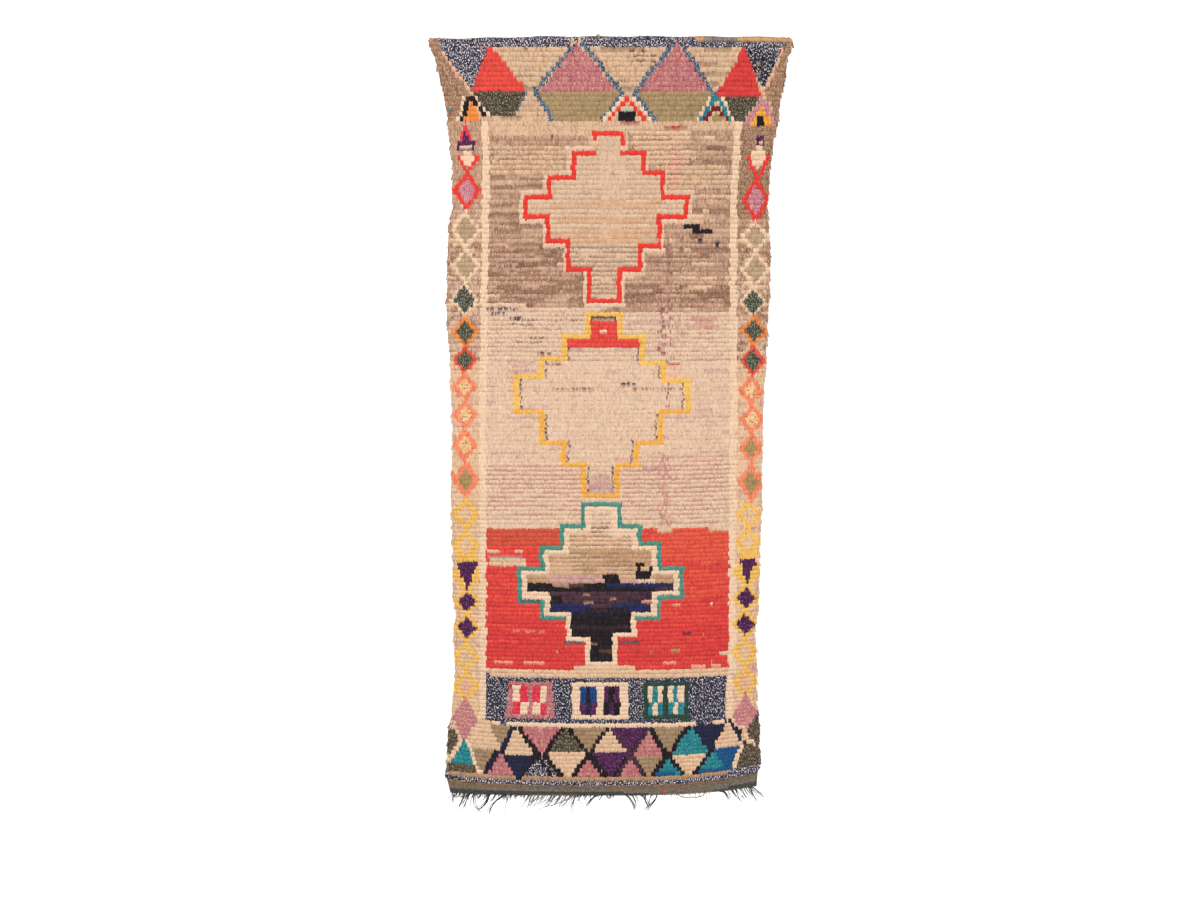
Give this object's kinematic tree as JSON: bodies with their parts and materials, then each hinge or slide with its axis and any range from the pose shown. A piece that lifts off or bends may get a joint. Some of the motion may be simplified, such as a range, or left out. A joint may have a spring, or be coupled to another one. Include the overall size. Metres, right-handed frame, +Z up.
{
  "type": "moroccan rug",
  "caption": "Long hand-knotted wool runner with stepped medallions, checked window blocks and triangles, flared at its head, woven ends and a sparse fringe at its foot.",
  "frame": {"origin": "middle of the rug's bounding box, on the floor that it lies on", "axes": "+Z up, +Y along the rug towards its flared head, +X across it"},
  "size_m": [1.4884, 3.184, 0.0134],
  "materials": {
    "pile_wool": "short matt wool pile, worn in places, in many dyed colours",
    "warp_wool": "loose dark grey spun wool warp ends"
  },
  "bodies": {
    "root": {"rug": "pile_wool", "fringe": "warp_wool"}
  },
  "joints": []
}
